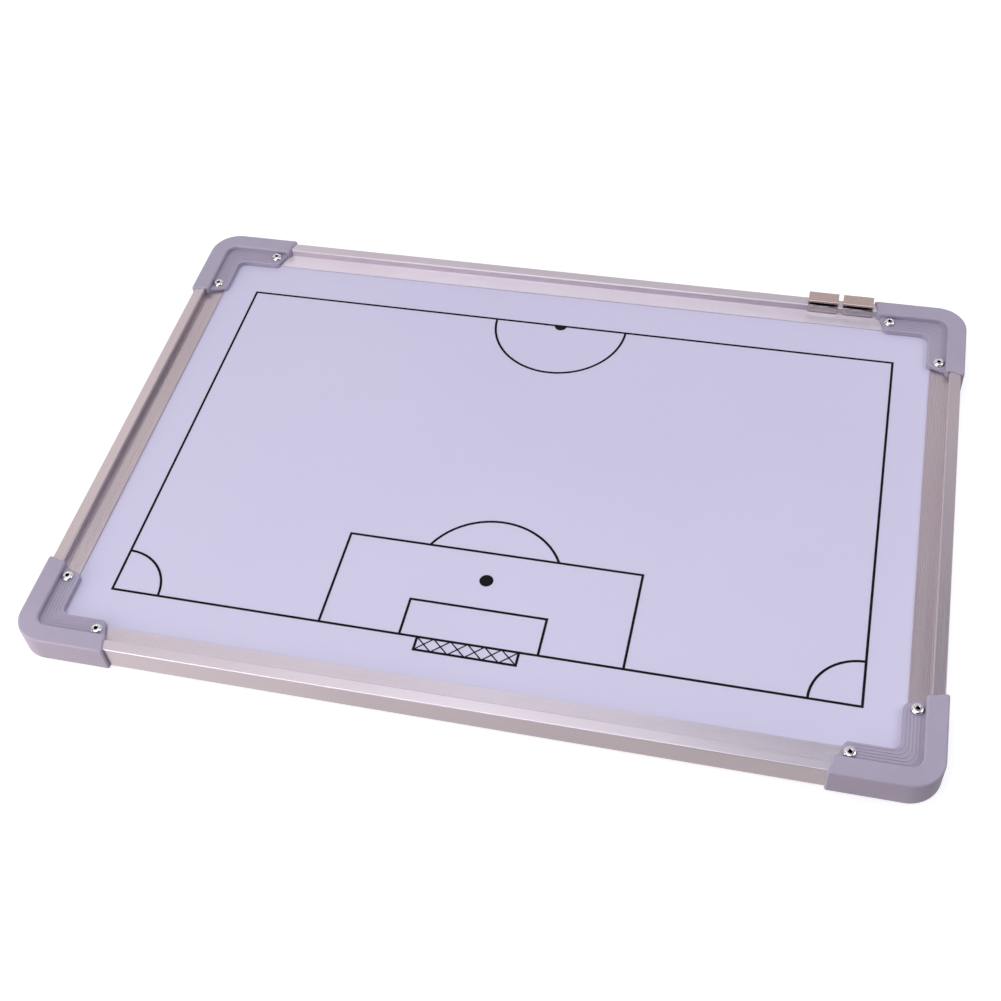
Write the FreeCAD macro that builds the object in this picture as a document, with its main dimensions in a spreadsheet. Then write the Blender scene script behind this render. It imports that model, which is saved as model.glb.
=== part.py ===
import FreeCAD, Part
import math
import os
from types import SimpleNamespace

import Sketcher
from FreeCAD import Placement, Rotation, Vector

# Tactics board lying on a table: X along the long side, Y towards the rail with the hangers,
# Z up, origin on the table under the middle of the board. All lengths are millimetres.

SIZES = {
    # Frame, measured over the outer faces of the rails
    "frame_length": 446.4,
    "frame_width": 303.4,
    # Rail extrusion: a hollow rim with two ribbed ledges that hold the panel
    "rail_height": 14.0,
    "rail_face": 16.0,
    "rail_wall": 1.1,
    "rail_round": 0.5,
    "rim_width": 6.3,
    "rim_rise": 4.2,
    "rim_chamfer": 0.6,
    "ledge_fall": 0.3,
    "ledge_lip": 0.8,
    "rail_groove_depth": 0.12,
    "rail_gap": 0.5,
    # Panel
    "sheet_thickness": 0.3,
    "panel_gap": 0.5,
    # Corner caps and the keys inside them
    "cap_wall": 1.8,
    "cap_cover": 1.0,
    "cap_leg": 51.3,
    "cap_radius": 16.0,
    "cap_band": 10.3,
    "cap_apron": 2.0,
    "cap_ledge": 2.1,
    "cap_inner_radius": 4.5,
    "cap_end_radius": 1.2,
    "cap_ledge_end_radius": 2.2,
    "cap_band_end_radius": 2.0,
    "cap_band_slant": 1.8,
    "cap_ledge_setback": 2.1,
    "cap_end_slant": 7.3,
    "cap_edge_round": 1.2,
    "cap_ledge_round": 0.5,
    "cap_fit": 0.1,
    "cap_rib_width": 0.5,
    "cap_rib_depth": 0.2,
    "key_reach": 26.0,
    "key_play": 0.15,
    # Rivets
    "rivet_diameter": 3.2,
    "rivet_inset": 13.7,
    "rivet_end": 9.6,
    "rivet_play": 0.1,
    "head_diameter": 6.4,
    "head_height": 1.7,
    "head_round": 1.6,
    "bore_diameter": 2.0,
    "bore_depth": 2.4,
    "bore_round": 0.4,
    # Hangers, bent from strip
    "hanger_width": 16.8,
    "hanger_strip": 0.6,
    "hanger_play": 0.3,
    "hanger_leg": 6.0,
    "hanger_rise": 3.4,
    "hanger_reach": 6.4,
    "hanger_lip": 1.1,
    "hanger_bend": 0.3,
    "hanger_gap": 2.6,
    "hanger_cap_gap": 0.3,
    "relief_length": 6.0,
    "relief_drop": 0.8,
    # Printed markings
    "margin_long": 20.1,
    "margin_short": 23.6,
    "print_shift": 0.75,
    "line_width": 1.3,
    "net_line": 1.0,
    "ink": 0.1,
    "box_length": 152.4,
    "box_depth": 56.1,
    "goal_area_length": 69.4,
    "goal_area_depth": 21.4,
    "goal_length": 51.0,
    "goal_depth": 7.5,
    "spot_distance": 38.9,
    "spot_diameter": 7.1,
    "arc_radius": 37.8,
    "corner_radius": 24.9,
    # How far every cutting tool runs past the material
    "overrun": 2.0,
}

RAIL_RIBS = 12
RIB_LAND_SHARE = 0.62
GROOVE_MIDDLE_SHARE = 0.81
CAP_RIBS = 5
NET_CELLS = 6
WHOLE_PITCH_SHARE = 0.83
TOUCH = 1e-6


class Size:
    """A length that keeps its number together with the sheet expression it comes from."""

    def __init__(self, number, text):
        self.number = number
        self.text = text

    def joined(self, sign, other, number):
        return Size(number, f"({self.text} {sign} {other.text})")

    def __add__(self, other):
        other = as_size(other)
        return self.joined("+", other, self.number + other.number)

    def __sub__(self, other):
        other = as_size(other)
        return self.joined("-", other, self.number - other.number)

    def __mul__(self, factor):
        factor = as_size(factor)
        return self.joined("*", factor, self.number * factor.number)

    def __truediv__(self, divisor):
        divisor = as_size(divisor)
        return self.joined("/", divisor, self.number / divisor.number)

    def __neg__(self):
        return Size(-self.number, f"(-1 * {self.text})")


def as_size(value):
    """Give a plain number the form of a size."""
    if isinstance(value, Size):
        return value
    return Size(float(value), f"({value})")


ZERO = as_size(0)

doc = FreeCAD.newDocument("tactics_board")
sheet = doc.addObject("Spreadsheet::Sheet", "Sizes")
for row, (size_name, size_value) in enumerate(SIZES.items(), start=1):
    sheet.set(f"A{row}", size_name)
    sheet.set(f"B{row}", str(size_value))
    sheet.setAlias(f"B{row}", size_name)
doc.recompute()
size = SimpleNamespace(**{name: Size(float(sheet.get(name)), f"Sizes.{name}") for name in SIZES})

half_length = size.frame_length / 2
half_width = size.frame_width / 2

# Levels above the mid-plane of the board, which all the symmetric pieces share
rail_half = size.rail_height / 2
ledge_level = rail_half - size.rim_rise
lip_level = ledge_level - size.ledge_fall
panel_half = lip_level - size.ledge_lip
core_half = panel_half - size.sheet_thickness
cap_half = rail_half + size.cap_cover
cap_ledge_level = ledge_level + size.cap_ledge
mid_level = cap_half

# Offsets in plan, from the outer faces of the caps
cap_reach = size.cap_wall + size.rail_face + size.cap_apron
cap_channel_end = size.cap_wall + size.rim_width + size.cap_fit
cap_slot_end = size.cap_wall + size.rail_face + size.cap_fit
rivet_run = size.cap_leg - size.rivet_end
rivet_hole_radius = size.rivet_diameter / 2 + size.rivet_play
rail_setback = size.rail_face + size.rail_gap


# Sketches bound to the sheet


def new_body(label):
    """Start a sub-part whose label names its file."""
    body = doc.addObject("PartDesign::Body", label)
    body.Label = label
    return body


def origin_plane(body, role):
    """Find one of the three planes of a body's own origin."""
    return next(feature for feature in body.Origin.OriginFeatures if feature.Role == role)


def new_sketch(body, name, role="XY_Plane", height=ZERO):
    """Start a sketch on an origin plane of its body, lifted along the plane's normal."""
    sketch = body.newObject("Sketcher::SketchObject", name)
    sketch.AttachmentSupport = [(origin_plane(body, role), "")]
    sketch.MapMode = "FlatFace"
    sketch.AttachmentOffset = Placement(Vector(0, 0, height.number), Rotation())
    sketch.setExpression("AttachmentOffset.Base.z", height.text)
    return sketch


def add_dimensions(sketch, dimensions):
    """Add dimensions to a sketch and tie each one to the sheet."""
    indices = sketch.addConstraint([constraint for constraint, length in dimensions])
    for index, (constraint, length) in zip(indices, dimensions):
        sketch.setExpression(f"Constraints[{index}]", length.text)


def point_dimensions(geometry, position, x, y):
    """Hold a point of a sketch at a bound distance from the sketch's origin."""
    return [(Sketcher.Constraint("DistanceX", -1, 1, geometry, position, x.number), x),
            (Sketcher.Constraint("DistanceY", -1, 1, geometry, position, y.number), y)]


def radius_dimension(geometry, radius):
    """Hold the radius of a circle or an arc."""
    return (Sketcher.Constraint("Radius", geometry, radius.number), radius)


def draw_circle(sketch, x, y, radius):
    """Draw a circle whose centre and radius are bound."""
    circle = Part.Circle(Vector(x.number, y.number, 0), Vector(0, 0, 1), radius.number)
    index = sketch.addGeometry(circle)
    add_dimensions(sketch, [*point_dimensions(index, 3, x, y), radius_dimension(index, radius)])


def step_sign(start, end):
    """Say which way an edge along an axis runs: -1, 0 or 1."""
    distance = end.number - start.number
    return 0 if abs(distance) < TOUCH else int(math.copysign(1, distance))


def corner_points(before, corner, after):
    """Give the points where the outline enters and leaves a corner."""
    x, y, radius = corner
    if radius is None:
        return [(x, y)]
    entry = (x - radius * step_sign(before[0], x), y - radius * step_sign(before[1], y))
    leave = (x + radius * step_sign(x, after[0]), y + radius * step_sign(y, after[1]))
    return [entry, leave]


def corner_arc(corner, entry, leave):
    """Give the arc of a rounded corner and the numbers of its first and last points along the outline."""
    x, y, radius = corner
    middle = Vector(entry[0].number + leave[0].number - x.number,
                    entry[1].number + leave[1].number - y.number, 0)
    entry_angle = math.atan2(entry[1].number - middle.y, entry[0].number - middle.x)
    leave_angle = math.atan2(leave[1].number - middle.y, leave[0].number - middle.x)
    circle = Part.Circle(middle, Vector(0, 0, 1), radius.number)
    if math.sin(leave_angle - entry_angle) > 0:
        return Part.ArcOfCircle(circle, entry_angle, leave_angle), 1, 2
    return Part.ArcOfCircle(circle, leave_angle, entry_angle), 2, 1


def draw_outline(sketch, corners):
    """Draw a closed outline. A corner is (x, y), or (x, y, radius) between edges along the axes."""
    corners = [corner if len(corner) == 3 else (*corner, None) for corner in corners]
    count = len(corners)
    stops = [corner_points(corners[i - 1], corners[i], corners[(i + 1) % count]) for i in range(count)]
    pieces = []
    dimensions = []
    for i, corner in enumerate(corners):
        if corner[2] is not None:
            arc, first, last = corner_arc(corner, *stops[i])
            index = sketch.addGeometry(arc)
            pieces.append((index, first, last))
            dimensions += point_dimensions(index, first, *stops[i][0])
            dimensions.append(radius_dimension(index, corner[2]))
        start = stops[i][-1]
        end = stops[(i + 1) % count][0]
        line = Part.LineSegment(Vector(start[0].number, start[1].number, 0),
                                Vector(end[0].number, end[1].number, 0))
        index = sketch.addGeometry(line)
        pieces.append((index, 1, 2))
        dimensions += point_dimensions(index, 1, *start)
    joints = []
    for i, (index, first, last) in enumerate(pieces):
        next_index, next_first, next_last = pieces[(i + 1) % len(pieces)]
        joints.append(Sketcher.Constraint("Coincident", index, last, next_index, next_first))
    sketch.addConstraint(joints)
    add_dimensions(sketch, dimensions)


def rectangle(half_x, half_y, radius=None):
    """Give the corners of a rectangle about the origin."""
    return [(-half_x, -half_y, radius), (half_x, -half_y, radius),
            (half_x, half_y, radius), (-half_x, half_y, radius)]


def corner_outline(near, far, ends, near_radius=None, far_radius=None):
    """Give the corners of an L that turns round the origin. Its ends are (run, inset) from near to far."""
    return [(near, near, near_radius), *ends, (far, far, far_radius),
            *[(inset, run, *radius) for run, inset, *radius in ends[::-1]]]


def square_end(near, far, run):
    """Give the end of an L's arm, cut straight across."""
    return [(run, near), (run, far)]


# Features


def add_pad(body, sketch, length, symmetric=True):
    """Pad a sketch, by default to both sides of its plane."""
    pad = body.newObject("PartDesign::Pad", f"{sketch.Name}_pad")
    pad.Profile = sketch
    pad.SideType = "Symmetric" if symmetric else "One side"
    pad.setExpression("Length", length.text)
    return pad


def add_pocket(body, sketch, length, symmetric=True):
    """Cut a sketch out of its body, by default to both sides of its plane."""
    pocket = body.newObject("PartDesign::Pocket", f"{sketch.Name}_pocket")
    pocket.Profile = sketch
    pocket.SideType = "Symmetric" if symmetric else "One side"
    pocket.setExpression("Length", length.text)
    return pocket


def lies_at(level):
    """Choose the edges that lie flat at a level above or below the mid-plane."""
    def chosen(edge):
        return all(abs(abs(vertex.Z) - level.number) < TOUCH for vertex in edge.Vertexes)
    return chosen


def stands_at(spot):
    """Choose the upright edges at a spot in plan and at its mirror image."""
    place = sorted(length.number for length in spot)

    def chosen(edge):
        return all(math.dist(sorted((vertex.X, vertex.Y)), place) < TOUCH for vertex in edge.Vertexes)
    return chosen


def add_fillet(body, feature, radius, chosen):
    """Round the edges of a feature that a rule chooses."""
    doc.recompute()
    names = [f"Edge{i}" for i, edge in enumerate(feature.Shape.Edges, start=1) if chosen(edge)]
    fillet = body.newObject("PartDesign::Fillet", f"{feature.Name}_round")
    fillet.Base = (feature, names)
    fillet.setExpression("Radius", radius.text)
    return fillet


def place(item, x, y, z, rotation=Rotation()):
    """Set a sub-part in the board, with its position bound to the sheet."""
    item.Placement = Placement(Vector(x.number, y.number, z.number), rotation)
    for axis, length in zip("xyz", (x, y, z)):
        item.setExpression(f"Placement.Base.{axis}", length.text)


def quarter_turn(count):
    """Turn about the vertical by quarters of a circle."""
    return Rotation(Vector(0, 0, 1), 90 * count)


# Rails


def rib_points():
    """Give the line of a rail's upper ledge from the rim to the lip: flat ribs with a groove after each."""
    pitch = (size.rail_face - size.rim_width) / RAIL_RIBS
    fall = size.ledge_fall / RAIL_RIBS
    steps = ((RIB_LAND_SHARE, ZERO), (GROOVE_MIDDLE_SHARE, size.rail_groove_depth), (1, ZERO))
    points = [(size.rim_width, ledge_level)]
    for i in range(RAIL_RIBS):
        for share, depth in steps:
            points.append((size.rim_width + pitch * (i + share), ledge_level - fall * (i + share) - depth))
    return points


def make_rail(label, span, turn, x, y):
    """Extrude a rail: local x along it, local y from its outer face towards the panel."""
    body = new_body(label)
    profile = new_sketch(body, f"{label}_profile", "YZ_Plane")
    upper = rib_points()
    lower = [(across, -level) for across, level in upper]
    slot = [(size.rail_face, -panel_half), (size.rim_width, -panel_half),
            (size.rim_width, panel_half), (size.rail_face, panel_half)]
    rim_lower = [(ZERO, -rail_half, size.rail_round), (size.rim_width - size.rim_chamfer, -rail_half),
                 (size.rim_width, size.rim_chamfer - rail_half)]
    rim_upper = [(size.rim_width, rail_half - size.rim_chamfer),
                 (size.rim_width - size.rim_chamfer, rail_half), (ZERO, rail_half, size.rail_round)]
    draw_outline(profile, rim_lower + lower + slot + upper[::-1] + rim_upper)
    inner = size.rim_width - size.rail_wall
    roof = rail_half - size.rail_wall
    draw_outline(profile, [(size.rail_wall, -roof), (inner, -roof), (inner, roof), (size.rail_wall, roof)])
    add_pad(body, profile, span - rail_setback * 2)

    holes = new_sketch(body, f"{label}_holes")
    hole_x = span / 2 + size.cap_wall - rivet_run
    for sign in (-1, 1):
        draw_circle(holes, hole_x * sign, size.rivet_inset - size.cap_wall, rivet_hole_radius)
    add_pocket(body, holes, size.rail_height)
    place(body, x, y, mid_level, quarter_turn(turn))
    return body


# Panel


def rivet_spots():
    """Give the plan positions of the rivets, two at each corner."""
    spots = []
    for x_sign in (-1, 1):
        for y_sign in (-1, 1):
            for run, inset in ((rivet_run, size.rivet_inset), (size.rivet_inset, rivet_run)):
                x = half_length + size.cap_wall - run
                y = half_width + size.cap_wall - inset
                spots.append((x * x_sign, y * y_sign))
    return spots


def make_layer(label, thickness, level):
    """Cut one layer of the panel and drill it for the rivets."""
    body = new_body(label)
    outline = new_sketch(body, f"{label}_outline")
    inset = size.rim_width + size.panel_gap
    corner_radius = size.cap_radius - size.cap_wall - inset
    draw_outline(outline, rectangle(half_length - inset, half_width - inset, corner_radius))
    for x, y in rivet_spots():
        draw_circle(outline, x, y, rivet_hole_radius)
    add_pad(body, outline, thickness)
    place(body, ZERO, ZERO, mid_level + level)
    return body


# Corner caps and keys


def make_cap(label, turn, x_sign, y_sign):
    """Mould a corner cap: local origin at its outer corner, arms along local x and y."""
    body = new_body(label)
    inside_radius = size.cap_radius - size.cap_wall + size.cap_fit
    band_radius = size.cap_radius - size.cap_band
    outer_end = (size.cap_leg, ZERO)
    band_run = size.cap_leg - size.cap_band_slant
    shoulder = (band_run, size.cap_band - size.cap_band_end_radius * 2)
    band_end = (band_run, size.cap_band)
    ledge_start = (band_run - size.cap_ledge_setback, size.cap_band)
    ledge_end = (size.cap_leg - size.cap_end_slant, cap_reach)

    ledge = new_sketch(body, f"{label}_ledge")
    draw_outline(ledge, corner_outline(ZERO, cap_reach, [outer_end, shoulder, ledge_start, ledge_end],
                                       size.cap_radius, size.cap_inner_radius))
    ledge_pad = add_pad(body, ledge, cap_ledge_level * 2)
    ledge_corners = add_fillet(body, ledge_pad, size.cap_ledge_end_radius, stands_at(ledge_end))
    add_fillet(body, ledge_corners, size.cap_ledge_round, lies_at(cap_ledge_level))

    band = new_sketch(body, f"{label}_band")
    round_end = (*band_end, size.cap_band_end_radius)
    draw_outline(band, corner_outline(ZERO, size.cap_band, [outer_end, shoulder, round_end],
                                      size.cap_radius, band_radius))
    band_pad = add_pad(body, band, cap_half * 2)
    outer_corners = add_fillet(body, band_pad, size.cap_end_radius, stands_at(outer_end))
    add_fillet(body, outer_corners, size.cap_edge_round, lies_at(cap_half))

    past_end = size.cap_leg + size.overrun
    channel = new_sketch(body, f"{label}_channel")
    channel_start = size.cap_wall - size.cap_fit
    channel_end = square_end(channel_start, cap_channel_end, past_end)
    draw_outline(channel, corner_outline(channel_start, cap_channel_end, channel_end, inside_radius,
                                         inside_radius - (cap_channel_end - channel_start)))
    add_pocket(body, channel, size.rail_height)

    slot = new_sketch(body, f"{label}_slot")
    slot_start = size.cap_wall + size.rim_width / 2
    slot_end = square_end(slot_start, cap_slot_end, past_end)
    draw_outline(slot, corner_outline(slot_start, cap_slot_end, slot_end))
    add_pocket(body, slot, (ledge_level + size.cap_fit) * 2)

    mouth = new_sketch(body, f"{label}_mouth")
    mouth_start = size.cap_wall + size.rail_face / 2
    mouth_stop = cap_reach + size.overrun
    mouth_end = square_end(mouth_start, mouth_stop, past_end)
    draw_outline(mouth, corner_outline(mouth_start, mouth_stop, mouth_end))
    add_pocket(body, mouth, (panel_half + size.cap_fit) * 2)

    holes = new_sketch(body, f"{label}_holes")
    draw_circle(holes, rivet_run, size.rivet_inset, rivet_hole_radius)
    draw_circle(holes, size.rivet_inset, rivet_run, rivet_hole_radius)
    add_pocket(body, holes, cap_half * 2)

    ribs = new_sketch(body, f"{label}_ribs", height=cap_ledge_level)
    pitch = (cap_reach - size.cap_band) / (CAP_RIBS + 1)
    radius_fall = (band_radius - size.cap_inner_radius) / (CAP_RIBS + 1)
    for i in range(1, CAP_RIBS + 1):
        start = size.cap_band + pitch * i - size.cap_rib_width / 2
        stop = start + size.cap_rib_width
        radius = band_radius - radius_fall * i
        draw_outline(ribs, corner_outline(start, stop, square_end(start, stop, rivet_run),
                                          radius + size.cap_rib_width, radius))
    grooves = add_pocket(body, ribs, size.cap_rib_depth, symmetric=False)
    mirrored = body.newObject("PartDesign::Mirrored", f"{label}_ribs_below")
    mirrored.Originals = [grooves]
    mirrored.MirrorPlane = (origin_plane(body, "XY_Plane"), [""])
    body.Tip = mirrored

    corner_x = half_length + size.cap_wall
    corner_y = half_width + size.cap_wall
    place(body, corner_x * x_sign, corner_y * y_sign, mid_level, quarter_turn(turn))
    return body


def make_key(label, turn, x_sign, y_sign):
    """Bend a corner key that fills the hollow rims of the two rails."""
    body = new_body(label)
    outline = new_sketch(body, f"{label}_outline")
    near = size.rail_wall + size.key_play
    far = size.rim_width - near
    bend = size.cap_radius - size.cap_wall - near
    end = rail_setback + size.key_reach
    draw_outline(outline, corner_outline(near, far, square_end(near, far, end), bend, bend - (far - near)))
    add_pad(body, outline, (rail_half - size.rail_wall) * 2)
    place(body, half_length * x_sign, half_width * y_sign, mid_level, quarter_turn(turn))
    return body


# Rivets


def make_rivet(label, x, y):
    """Turn one rivet about the mid-plane, with a head on each face and the bore open at both ends."""
    body = new_body(label)
    shank = size.rivet_diameter / 2
    head = size.head_diameter / 2
    bore = size.bore_diameter / 2
    top = cap_ledge_level + size.head_height
    floor = top - size.bore_depth
    upper = [(shank, cap_ledge_level), (head, cap_ledge_level), (head, top, size.head_round),
             (bore, top, size.bore_round), (bore, floor), (ZERO, floor)]
    lower = [(across, -level, *radius) for across, level, *radius in upper]
    profile = new_sketch(body, f"{label}_profile", "XZ_Plane")
    draw_outline(profile, upper + lower[::-1])
    turned = body.newObject("PartDesign::Revolution", f"{label}_turned")
    turned.Profile = profile
    turned.ReferenceAxis = (profile, ["V_Axis"])
    place(body, x, y, mid_level)
    return body


def group(label, members):
    """Hold several like pieces together as one sub-part."""
    compound = doc.addObject("Part::Compound", label)
    compound.Label = label
    compound.Links = members
    return compound


def mirror(label, source, normal):
    """Repeat a piece on the other side of a plane through the middle of the board."""
    image = doc.addObject("Part::Mirroring", label)
    image.Label = label
    image.Source = source
    image.Normal = normal
    return image


# Hangers


def make_hanger(label, x):
    """Bend a hanger: local y from the rail's outer face inwards, local z up from the top of the rim."""
    body = new_body(label)
    strip = size.hanger_strip
    inside = size.rim_width + size.hanger_play
    inner_leg_end = size.hanger_play - size.rim_rise
    outside = -size.hanger_play
    hem_inner = outside - strip
    hem_outer = hem_inner - size.hanger_play
    back = hem_outer - strip
    hem_level = -size.hanger_leg
    bend = size.hanger_bend
    outer_bend = bend + strip
    profile = new_sketch(body, f"{label}_profile", "YZ_Plane")
    draw_outline(profile, [
        (inside, inner_leg_end),
        (inside, ZERO),
        (outside, ZERO),
        (outside, hem_level - strip, bend),
        (back, hem_level - strip, bend),
        (back, size.hanger_rise, outer_bend),
        (size.hanger_reach, size.hanger_rise, outer_bend),
        (size.hanger_reach, size.hanger_rise - size.hanger_lip),
        (size.hanger_reach - strip, size.hanger_rise - size.hanger_lip),
        (size.hanger_reach - strip, size.hanger_rise - strip),
        (hem_outer, size.hanger_rise - strip, bend),
        (hem_outer, hem_level),
        (hem_inner, hem_level),
        (hem_inner, strip),
        (inside + strip, strip, bend),
        (inside + strip, inner_leg_end),
    ])
    add_pad(body, profile, size.hanger_width)

    relief = new_sketch(body, f"{label}_relief", "XZ_Plane", -inside)
    end = size.hanger_width / 2
    for sign in (-1, 1):
        draw_outline(relief, [((end - size.relief_length) * sign, strip),
                              ((end + size.relief_length) * sign, strip),
                              ((end + size.relief_length) * sign, strip - size.relief_drop * 2)])
    add_pocket(body, relief, strip * 2, symmetric=False)
    place(body, x, half_width, mid_level + rail_half, quarter_turn(2))
    return body


# Printed markings


def scaled_marks(share):
    """Give the sizes of the markings at one goal, drawn at a share of the half-pitch scale."""
    names = ("box_length", "box_depth", "goal_area_length", "goal_area_depth", "goal_length", "goal_depth",
             "spot_distance", "arc_radius", "corner_radius")
    return SimpleNamespace(**{name: getattr(size, name) * share for name in names})


def open_box(length, depth, width):
    """Give the corners of a three-sided box drawn with a line of some width, standing on a goal line."""
    half = length / 2
    edge = width / 2
    if depth.number < 0:
        edge = -edge
    outer = half + width / 2
    inner = half - width / 2
    return [(-outer, ZERO), (-outer, depth + edge), (outer, depth + edge), (outer, ZERO),
            (inner, ZERO), (inner, depth - edge), (-inner, depth - edge), (-inner, ZERO)]


def net_lines(marks, slope):
    """Give the slanting lines of a goal net, one in each cell."""
    cell = marks.goal_length / NET_CELLS
    lines = []
    for i in range(NET_CELLS):
        left = cell * i - marks.goal_length / 2
        right = left + cell
        start, end = (left, right) if slope > 0 else (right, left)
        half = size.net_line / 2
        lines.append([(start - half, ZERO), (start + half, ZERO), (end + half, -marks.goal_depth),
                      (end - half, -marks.goal_depth)])
    return lines


def make_print(label, half_x, half_y, marks, ends, centre_y, corners, shift, level, rotation):
    """Print a pitch. Each end turns a place along its goal line and a depth into sketch coordinates."""
    body = new_body(label)
    edge = size.line_width / 2

    rings = new_sketch(body, f"{label}_rings")
    centres = [(ZERO, centre_y, marks.arc_radius)]
    centres += [(*end(ZERO, marks.spot_distance), marks.arc_radius) for end in ends]
    centres += [(half_x * x_sign, half_y * y_sign, marks.corner_radius) for x_sign, y_sign in corners]
    for x, y, radius in centres:
        draw_circle(rings, x, y, radius + edge)
        draw_circle(rings, x, y, radius - edge)
    draw_circle(rings, ZERO, centre_y, size.spot_diameter / 2)
    add_pad(body, rings, size.ink, symmetric=False)

    outside = new_sketch(body, f"{label}_outside")
    draw_outline(outside, rectangle(half_x, half_y))
    draw_outline(outside, rectangle(half_x + marks.arc_radius * 2, half_y + marks.arc_radius * 2))
    add_pocket(body, outside, size.ink * 2)

    boxes = new_sketch(body, f"{label}_boxes")
    for end in ends:
        half = marks.box_length / 2
        draw_outline(boxes, [end(-half, ZERO), end(half, ZERO), end(half, marks.box_depth),
                             end(-half, marks.box_depth)])
    add_pocket(body, boxes, size.ink * 2)

    border = new_sketch(body, f"{label}_border")
    draw_outline(border, rectangle(half_x + edge, half_y + edge))
    draw_outline(border, rectangle(half_x - edge, half_y - edge))
    add_pad(body, border, size.ink, symmetric=False)

    lines = new_sketch(body, f"{label}_lines")
    for end in ends:
        for length, depth in ((marks.box_length, marks.box_depth),
                              (marks.goal_area_length, marks.goal_area_depth),
                              (marks.goal_length, -marks.goal_depth)):
            draw_outline(lines, [end(*point) for point in open_box(length, depth, size.line_width)])
        draw_circle(lines, *end(ZERO, marks.spot_distance), size.spot_diameter / 2)
    if len(ends) > 1:
        draw_outline(lines, rectangle(edge, half_y))
    add_pad(body, lines, size.ink, symmetric=False)

    for name, slope in (("net_rising", 1), ("net_falling", -1)):
        net = new_sketch(body, f"{label}_{name}")
        for end in ends:
            for line in net_lines(marks, slope):
                draw_outline(net, [end(*point) for point in line])
        add_pad(body, net, size.ink, symmetric=False)
    place(body, ZERO, shift, level, rotation)
    return body


# Build the board

nodes = []
nodes.append(make_rail("bottom_rail", size.frame_length, 0, ZERO, -half_width))
nodes.append(make_rail("right_rail", size.frame_width, 1, half_length, ZERO))
nodes.append(make_rail("top_rail", size.frame_length, 2, ZERO, half_width))
nodes.append(make_rail("left_rail", size.frame_width, 3, -half_length, ZERO))

sheet_level = core_half + size.sheet_thickness / 2
nodes.append(make_layer("front_sheet", size.sheet_thickness, sheet_level))
nodes.append(make_layer("core_board", core_half * 2, ZERO))
nodes.append(make_layer("back_sheet", size.sheet_thickness, -sheet_level))

board_corners = [("bottom_left", 0, -1, -1), ("bottom_right", 1, 1, -1),
                 ("top_right", 2, 1, 1), ("top_left", 3, -1, 1)]
for corner_name, quarter, x_side, y_side in board_corners:
    nodes.append(make_cap(f"corner_cap_{corner_name}", quarter, x_side, y_side))
    nodes.append(make_key(f"corner_key_{corner_name}", quarter, x_side, y_side))

first_spot, second_spot = rivet_spots()[-2:]
corner_pair = group("rivet_pair", [make_rivet("rivet_along", *first_spot),
                                   make_rivet("rivet_across", *second_spot)])
far_pairs = group("rivets_far", [corner_pair, mirror("rivet_pair_left", corner_pair, Vector(1, 0, 0))])
nodes.append(group("corner_rivets", [far_pairs, mirror("rivets_near", far_pairs, Vector(0, 1, 0))]))

pitch_x = half_length - size.rail_face - size.margin_long
pitch_y = half_width - size.rail_face - size.margin_short
half_pitch_ends = [lambda along, depth: (along, depth - pitch_y)]
whole_pitch_ends = [lambda along, depth: (depth - pitch_x, along),
                    lambda along, depth: (pitch_x - depth, along)]
nodes.append(make_print("pitch_print_front", pitch_x, pitch_y, scaled_marks(1), half_pitch_ends, pitch_y,
                        [(-1, -1), (1, -1)], -size.print_shift, mid_level + panel_half, Rotation()))
nodes.append(make_print("pitch_print_back", pitch_x, pitch_y, scaled_marks(WHOLE_PITCH_SHARE),
                        whole_pitch_ends, ZERO, [(-1, -1), (1, -1), (1, 1), (-1, 1)], ZERO,
                        mid_level - panel_half, Rotation(Vector(1, 0, 0), 180)))

right_hanger_x = half_length + size.cap_wall - size.cap_leg - size.hanger_cap_gap - size.hanger_width / 2
nodes.append(make_hanger("hanger_right", right_hanger_x))
nodes.append(make_hanger("hanger_left", right_hanger_x - size.hanger_width - size.hanger_gap))

doc.recompute()

faulty = [item.Name for item in doc.Objects if "Invalid" in item.State or "Error" in item.State]
if faulty:
    raise RuntimeError(f"features that failed: {faulty}")
os.makedirs("parts", exist_ok=True)
for node in nodes:
    if node.Shape.isNull() or not node.Shape.isValid():
        raise RuntimeError(f"{node.Label} has no valid shape")
    node.Shape.exportStep(f"parts/{node.Label}.step")
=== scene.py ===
from math import radians

import bmesh
import bpy
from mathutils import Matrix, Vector


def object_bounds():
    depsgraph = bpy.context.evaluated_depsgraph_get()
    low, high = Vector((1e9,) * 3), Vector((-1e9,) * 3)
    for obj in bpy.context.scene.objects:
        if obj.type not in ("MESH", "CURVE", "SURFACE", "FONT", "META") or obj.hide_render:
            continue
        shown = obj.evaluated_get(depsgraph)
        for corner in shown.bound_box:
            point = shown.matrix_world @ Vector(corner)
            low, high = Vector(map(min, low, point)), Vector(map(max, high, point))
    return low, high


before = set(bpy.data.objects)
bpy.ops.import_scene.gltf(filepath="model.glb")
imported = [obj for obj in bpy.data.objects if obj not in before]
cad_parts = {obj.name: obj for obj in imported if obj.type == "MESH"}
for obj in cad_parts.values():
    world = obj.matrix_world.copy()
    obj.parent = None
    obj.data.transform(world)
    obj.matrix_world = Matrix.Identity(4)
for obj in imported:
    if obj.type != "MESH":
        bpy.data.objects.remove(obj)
cad_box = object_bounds()
scene = bpy.context.scene

# Places and lengths are in metres. The hangers stand highest, and their heights are taken from the top.

CORNERS = ("bottom_left", "bottom_right", "top_right", "top_left")
LOWEST, HIGHEST = (Vector(corner) for corner in cad_box)
BOARD_MIDDLE = (LOWEST + HIGHEST) / 2
PLATE_DEPTH = 0.0013
SLOT_DEPTH = 0.0024
PLATE_FOOT = HIGHEST.z - PLATE_DEPTH
LEG_TOP = HIGHEST.z - SLOT_DEPTH

# Camera, worked out from the printed lines

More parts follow.
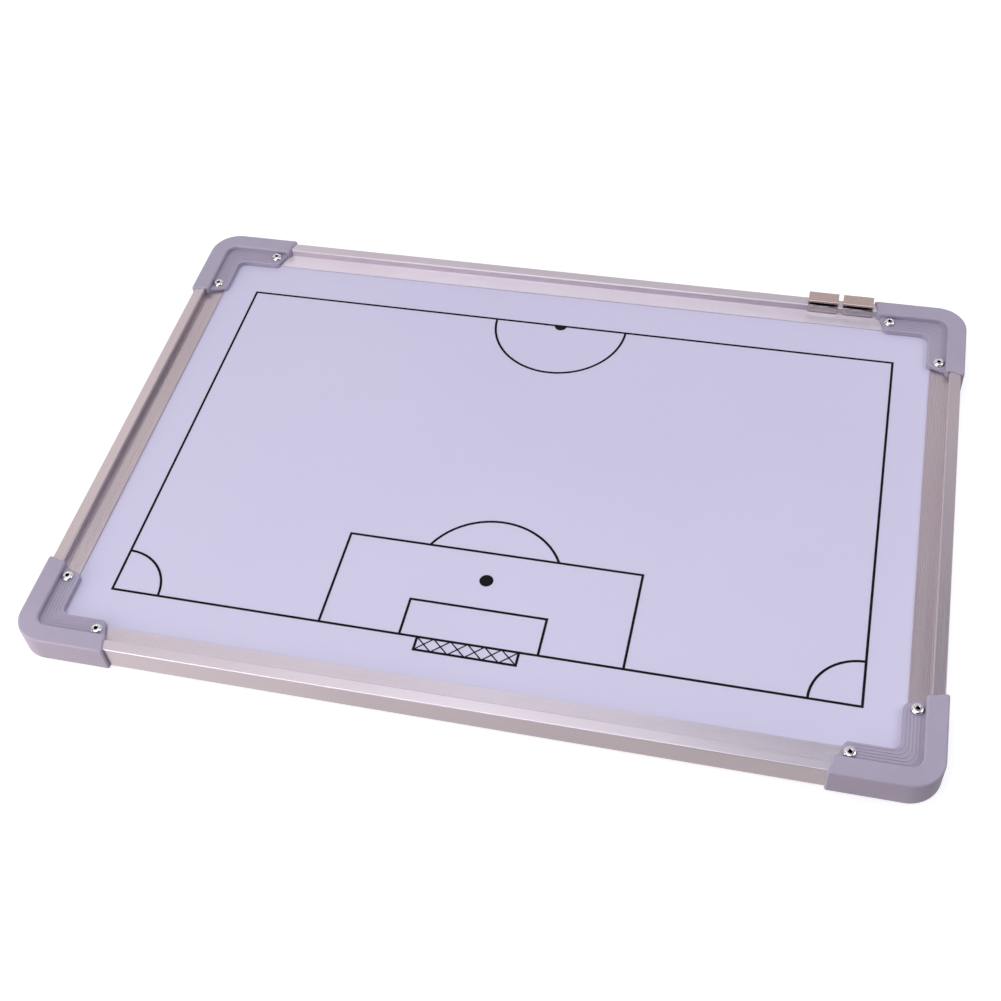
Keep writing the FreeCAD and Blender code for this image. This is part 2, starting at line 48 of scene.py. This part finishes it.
LENS_MM = 52.01
SENSOR_MM = 36.0
EYE = (0.1433, -0.48163, 0.59143)
EYE_TURN_DEGREES = (39.535, 3.918, 13.133)
NEAREST = 0.01
FURTHEST = 50.0

lens = bpy.data.cameras.new("table_camera")
lens.lens = LENS_MM
lens.sensor_width = SENSOR_MM
lens.clip_start = NEAREST
lens.clip_end = FURTHEST
camera = bpy.data.objects.new("table_camera", lens)
camera.location = EYE
camera.rotation_euler = [radians(turn) for turn in EYE_TURN_DEGREES]
scene.collection.objects.link(camera)
scene.camera = camera
scene.view_settings.view_transform = "Standard"

# Finishes

# A colour mix keeps its colour sockets behind those for numbers and vectors
MIX_SHARE = 0
MIX_FIRST = 6
MIX_SECOND = 7
MIX_RESULT = 2

# A noise seldom leaves this range
NOISE_LOW = 0.3
NOISE_HIGH = 0.7

# How marks are drawn out along a piece, the smaller the longer: by the die, by the rolls and by wiping
DIE_STRETCH = 0.004
ROLL_STRETCH = 0.01
WIPE_STRETCH = 0.25


def new_finish(name, colour, roughness=0.5, metallic=0.0, specular=0.5):
    """Start a finish with the values that are the same all over it."""
    finish = bpy.data.materials.new(name)
    finish.use_nodes = True
    shader = finish.node_tree.nodes["Principled BSDF"]
    shader.inputs["Base Color"].default_value = (*colour, 1.0)
    shader.inputs["Roughness"].default_value = roughness
    shader.inputs["Metallic"].default_value = metallic
    shader.inputs["Specular IOR Level"].default_value = specular
    return finish


def grain(finish, scale, detail=2.0, stretch=(1.0, 1.0, 1.0)):
    """Add a noise that stays with the piece. A small stretch value draws it out along that axis."""
    nodes, links = finish.node_tree.nodes, finish.node_tree.links
    where = nodes.new("ShaderNodeTexCoord")
    drawn = nodes.new("ShaderNodeMapping")
    drawn.inputs["Scale"].default_value = stretch
    noise = nodes.new("ShaderNodeTexNoise")
    noise.inputs["Scale"].default_value = scale
    noise.inputs["Detail"].default_value = detail
    links.new(where.outputs["Object"], drawn.inputs["Vector"])
    links.new(drawn.outputs["Vector"], noise.inputs["Vector"])
    return noise.outputs["Fac"]


def table_height(finish):
    """Give the height above the table."""
    nodes = finish.node_tree.nodes
    where = nodes.new("ShaderNodeTexCoord")
    split = nodes.new("ShaderNodeSeparateXYZ")
    finish.node_tree.links.new(where.outputs["Object"], split.inputs["Vector"])
    return split.outputs["Z"]


def open_share(finish, reach):
    """Give how open a place is to the light, looking as far as the reach."""
    node = finish.node_tree.nodes.new("ShaderNodeAmbientOcclusion")
    node.inputs["Distance"].default_value = reach
    return node.outputs["AO"]


def spread(finish, pattern, low, high, start=NOISE_LOW, stop=NOISE_HIGH):
    """Turn a pattern's range, from start to stop, into the range of a value."""
    node = finish.node_tree.nodes.new("ShaderNodeMapRange")
    node.inputs["From Min"].default_value = start
    node.inputs["From Max"].default_value = stop
    node.inputs["To Min"].default_value = low
    node.inputs["To Max"].default_value = high
    finish.node_tree.links.new(pattern, node.inputs["Value"])
    return node.outputs["Result"]


def two_tone(finish, pattern, first, second, start=NOISE_LOW, stop=NOISE_HIGH):
    """Go from one colour to another with a pattern. Each is a colour or the output of another mix."""
    links = finish.node_tree.links
    node = finish.node_tree.nodes.new("ShaderNodeMix")
    node.data_type = "RGBA"
    links.new(spread(finish, pattern, 0.0, 1.0, start, stop), node.inputs[MIX_SHARE])
    for place, colour in ((MIX_FIRST, first), (MIX_SECOND, second)):
        if isinstance(colour, tuple):
            node.inputs[place].default_value = (*colour, 1.0)
        else:
            links.new(colour, node.inputs[place])
    return node.outputs[MIX_RESULT]


def relief(finish, pattern, strength, depth):
    """Raise a pattern on the surface."""
    node = finish.node_tree.nodes.new("ShaderNodeBump")
    node.inputs["Strength"].default_value = strength
    node.inputs["Distance"].default_value = depth
    finish.node_tree.links.new(pattern, node.inputs["Height"])
    return node.outputs["Normal"]


def wire(finish, **sources):
    """Lead patterns into the shader."""
    shader = finish.node_tree.nodes["Principled BSDF"]
    names = {"colour": "Base Color", "roughness": "Roughness", "normal": "Normal"}
    for name, source in sources.items():
        finish.node_tree.links.new(source, shader.inputs[names[name]])
    return finish


def dress(finish, *names):
    """Give CAD nodes a finish."""
    for name in names:
        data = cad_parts[name].data
        data.materials.clear()
        data.materials.append(finish)


def anodised_rail(name, stretch, light, dark, smoothest, roughest, line_strength):
    """Satin aluminium with the fine lines that the die draws along a rail."""
    finish = new_finish(name, light, metallic=1.0)
    die_lines = grain(finish, scale=2600.0, detail=3.0, stretch=stretch)
    cloud = grain(finish, scale=14.0)
    return wire(finish,
                colour=two_tone(finish, cloud, dark, light),
                roughness=spread(finish, die_lines, smoothest, roughest),
                normal=relief(finish, die_lines, line_strength, depth=0.00004))


def cap_plastic():
    """Moulded plastic with a fine spark-eroded grain."""
    pale = (0.417, 0.369, 0.463)
    deep = (0.384, 0.336, 0.430)
    finish = new_finish("cap_plastic", pale)
    cloud = grain(finish, scale=40.0)
    pores = grain(finish, scale=2400.0, detail=1.0)
    return wire(finish,
                colour=two_tone(finish, cloud, deep, pale),
                roughness=spread(finish, pores, low=0.40, high=0.52),
                normal=relief(finish, pores, strength=0.15, depth=0.00006))


def white_coat():
    """Satin coat on steel, with faint wiping marks in its gloss."""
    pale = (0.655, 0.617, 0.779)
    deep = (0.633, 0.597, 0.763)
    finish = new_finish("white_coat", pale, specular=0.35)
    wiped = grain(finish, scale=30.0, detail=4.0, stretch=(1.0, WIPE_STRETCH, 1.0))
    cloud = grain(finish, scale=6.0)
    peel = grain(finish, scale=500.0, detail=1.0)
    return wire(finish,
                colour=two_tone(finish, cloud, deep, pale),
                roughness=spread(finish, wiped, low=0.38, high=0.46, start=0.0, stop=1.0),
                normal=relief(finish, peel, strength=0.02, depth=0.00002))


def print_ink():
    """Black screen print, a little thin in places."""
    full = (0.003, 0.003, 0.004)
    thin = (0.007, 0.006, 0.008)
    finish = new_finish("print_ink", full, specular=0.1)
    cover = grain(finish, scale=260.0, detail=3.0)
    return wire(finish,
                colour=two_tone(finish, cover, full, thin),
                roughness=spread(finish, cover, low=0.42, high=0.60))


def rivet_plate():
    """Bright plate, with painted shade darkening the bore."""
    plate = (0.82, 0.80, 0.80)
    painted_shade = (0.02, 0.02, 0.022)
    finish = new_finish("rivet_plate", plate, metallic=1.0)
    scuffs = grain(finish, scale=900.0, detail=3.0)
    # Painted shade: ambient occlusion darkens the bore towards near black
    bore_shade_mask = open_share(finish, reach=0.002)
    return wire(finish,
                colour=two_tone(finish, bore_shade_mask, painted_shade, plate, start=0.35, stop=0.75),
                roughness=spread(finish, scuffs, low=0.10, high=0.24))


def hanger_nickel():
    """Nickel plate on rolled strip: brown on the plate, with painted light making the legs paler and
    painted shade darkening the slot.
    """
    pale = (0.634, 0.503, 0.461)
    brown = (0.583, 0.460, 0.420)
    painted_leg_light = (0.700, 0.635, 0.635)
    painted_shade = (0.03, 0.026, 0.025)
    finish = new_finish("hanger_nickel", pale, metallic=1.0)
    rolled = grain(finish, scale=3000.0, stretch=(ROLL_STRETCH, 1.0, 1.0))
    tarnish = grain(finish, scale=120.0)
    plate = two_tone(finish, tarnish, brown, pale)
    # Painted light: below the plate's foot the legs are made paler than the plate
    strip = two_tone(finish, table_height(finish), painted_leg_light, plate, start=LEG_TOP, stop=PLATE_FOOT)
    # Painted shade: ambient occlusion darkens the slot towards near black
    slot_shade_mask = open_share(finish, reach=0.004)
    return wire(finish,
                colour=two_tone(finish, slot_shade_mask, painted_shade, strip, start=0.30, stop=0.55),
                roughness=spread(finish, rolled, low=0.20, high=0.34),
                normal=relief(finish, rolled, strength=0.10, depth=0.00003))


def core_fibre():
    """Pressed wood fibre, shut in between the sheets."""
    pale = (0.34, 0.22, 0.12)
    deep = (0.20, 0.12, 0.06)
    finish = new_finish("core_fibre", pale, roughness=0.85)
    fibres = grain(finish, scale=700.0, detail=4.0)
    return wire(finish,
                colour=two_tone(finish, fibres, deep, pale),
                normal=relief(finish, fibres, strength=0.3, depth=0.0001))


def key_plastic():
    """Dark moulding that sits inside the rail ends."""
    finish = new_finish("key_plastic", (0.03, 0.03, 0.033))
    pores = grain(finish, scale=900.0)
    return wire(finish,
                roughness=spread(finish, pores, low=0.48, high=0.62),
                normal=relief(finish, pores, strength=0.1, depth=0.00005))


# One anodised aluminium in two copies: the long rails' paler colour is painted light, the short rails'
# darker colour painted shade
lit_long_rail = anodised_rail("anodised_long_rail_lit_copy", stretch=(DIE_STRETCH, 1.0, 1.0),
                          light=(0.746, 0.678, 0.734), dark=(0.707, 0.644, 0.695),
                          smoothest=0.28, roughest=0.40, line_strength=0.08)
shaded_short_rail = anodised_rail("anodised_short_rail_shaded_copy", stretch=(1.0, DIE_STRETCH, 1.0),
                           light=(0.668, 0.586, 0.618), dark=(0.634, 0.555, 0.586),
                           smoothest=0.25, roughest=0.34, line_strength=0.03)
dress(lit_long_rail, "bottom_rail", "top_rail")
dress(shaded_short_rail, "left_rail", "right_rail")
dress(cap_plastic(), *(f"corner_cap_{corner}" for corner in CORNERS))
dress(key_plastic(), *(f"corner_key_{corner}" for corner in CORNERS))
dress(white_coat(), "front_sheet", "back_sheet")
dress(core_fibre(), "core_board")
dress(print_ink(), "pitch_print_front", "pitch_print_back")
dress(rivet_plate(), "corner_rivets")
dress(hanger_nickel(), "hanger_left", "hanger_right")

# Floor: glowing paper that turns up into a backdrop on all sides, and gives the board no light of its own

PAPER_REACH = 6.0
PAPER_RISE = 6.0
PAPER_BEND = 4.0
PAPER_BEND_STEPS = 16
PAPER_GREY = (0.50, 0.50, 0.50)
PAPER_GLOW = 0.66

table_mesh = bpy.data.meshes.new("table_top")
paper = bmesh.new()
bmesh.ops.create_grid(paper, x_segments=1, y_segments=1, size=PAPER_REACH)
sides = paper.edges[:]
upturn = bmesh.ops.extrude_edge_only(paper, edges=sides)
raised = [corner for corner in upturn["geom"] if isinstance(corner, bmesh.types.BMVert)]
bmesh.ops.translate(paper, verts=raised, vec=(0.0, 0.0, PAPER_RISE))
bmesh.ops.bevel(paper, geom=sides, offset=PAPER_BEND, affect="EDGES", segments=PAPER_BEND_STEPS,
                profile=0.5, material=-1)
for face in paper.faces:
    face.smooth = True
paper.to_mesh(table_mesh)
paper.free()
table_paper = new_finish("table_paper", PAPER_GREY, roughness=0.9, specular=0.1)
paper_shader = table_paper.node_tree.nodes["Principled BSDF"]
paper_shader.inputs["Emission Color"].default_value = (1.0, 1.0, 1.0, 1.0)
paper_shader.inputs["Emission Strength"].default_value = PAPER_GLOW
table_mesh.materials.append(table_paper)
table_top = bpy.data.objects.new("table_top", table_mesh)
scene.collection.objects.link(table_top)
table_top.visible_diffuse = False
table_top.visible_glossy = False
table_top.visible_shadow = False

# Light, with the lamps' power in watts


def softbox(name, place, size, power, colour):
    """Hang a soft lamp that looks at the middle of the board."""
    lamp = bpy.data.lights.new(name, "AREA")
    lamp.shape = "RECTANGLE"
    lamp.size, lamp.size_y = size
    lamp.energy = power
    lamp.color = colour
    holder = bpy.data.objects.new(name, lamp)
    holder.location = place
    holder.rotation_euler = (BOARD_MIDDLE - Vector(place)).to_track_quat("-Z", "Y").to_euler()
    scene.collection.objects.link(holder)


softbox("back_softbox", place=(-0.124, 0.380, 1.394), size=(0.6, 0.5),
        power=0.79, colour=(0.98, 1.0, 0.99))
softbox("left_softbox", place=(-0.711, 0.687, 1.060), size=(0.5, 0.5),
        power=0.30, colour=(1.0, 0.90, 0.68))
softbox("front_softbox", place=(-0.60, -0.66, 0.20), size=(1.1, 0.38),
        power=5.3, colour=(1.0, 0.951, 0.913))
softbox("side_softbox", place=(0.95, 0.15, 0.85), size=(0.8, 0.8),
        power=4.95, colour=(0.922, 0.949, 1.0))
softbox("top_softbox", place=(-0.28, -0.35, 1.55), size=(1.7, 1.7),
        power=14.9, colour=(0.977, 0.969, 1.0))

# Surround: a pale wall low behind the board, a dim room, and the table's own light from below.
# An edge says where one colour starts to give way to the next, and where it has.

WALL_HEADING = (-0.30, 0.87, -0.40)
WALL_EDGE = (0.11, 0.25)
WALL_COLOUR = (0.758, 0.726, 0.750)
ROOM_COLOUR = (0.071, 0.090, 0.140)
TABLE_EDGE = (-0.45, -0.15)
TABLE_LEFT_COLOUR = (0.907, 0.846, 0.837)
TABLE_COLOUR = (0.568, 0.533, 0.527)
HORIZON_EDGE = (-0.04, 0.0)

studio = bpy.data.worlds.new("studio")
studio.use_nodes = True
studio_nodes, studio_links = studio.node_tree.nodes, studio.node_tree.links
heading = studio_nodes.new("ShaderNodeTexCoord").outputs["Generated"]
facing = studio_nodes.new("ShaderNodeVectorMath")
facing.operation = "DOT_PRODUCT"
looking, wall = facing.inputs[:2]
wall.default_value = WALL_HEADING
split = studio_nodes.new("ShaderNodeSeparateXYZ")
studio_links.new(heading, looking)
studio_links.new(heading, split.inputs["Vector"])
sky = two_tone(studio, facing.outputs["Value"], ROOM_COLOUR, WALL_COLOUR, *WALL_EDGE)
table = two_tone(studio, split.outputs["X"], TABLE_LEFT_COLOUR, TABLE_COLOUR, *TABLE_EDGE)
surround = two_tone(studio, split.outputs["Z"], table, sky, *HORIZON_EDGE)
studio_links.new(surround, studio_nodes["Background"].inputs["Color"])
scene.world = studio
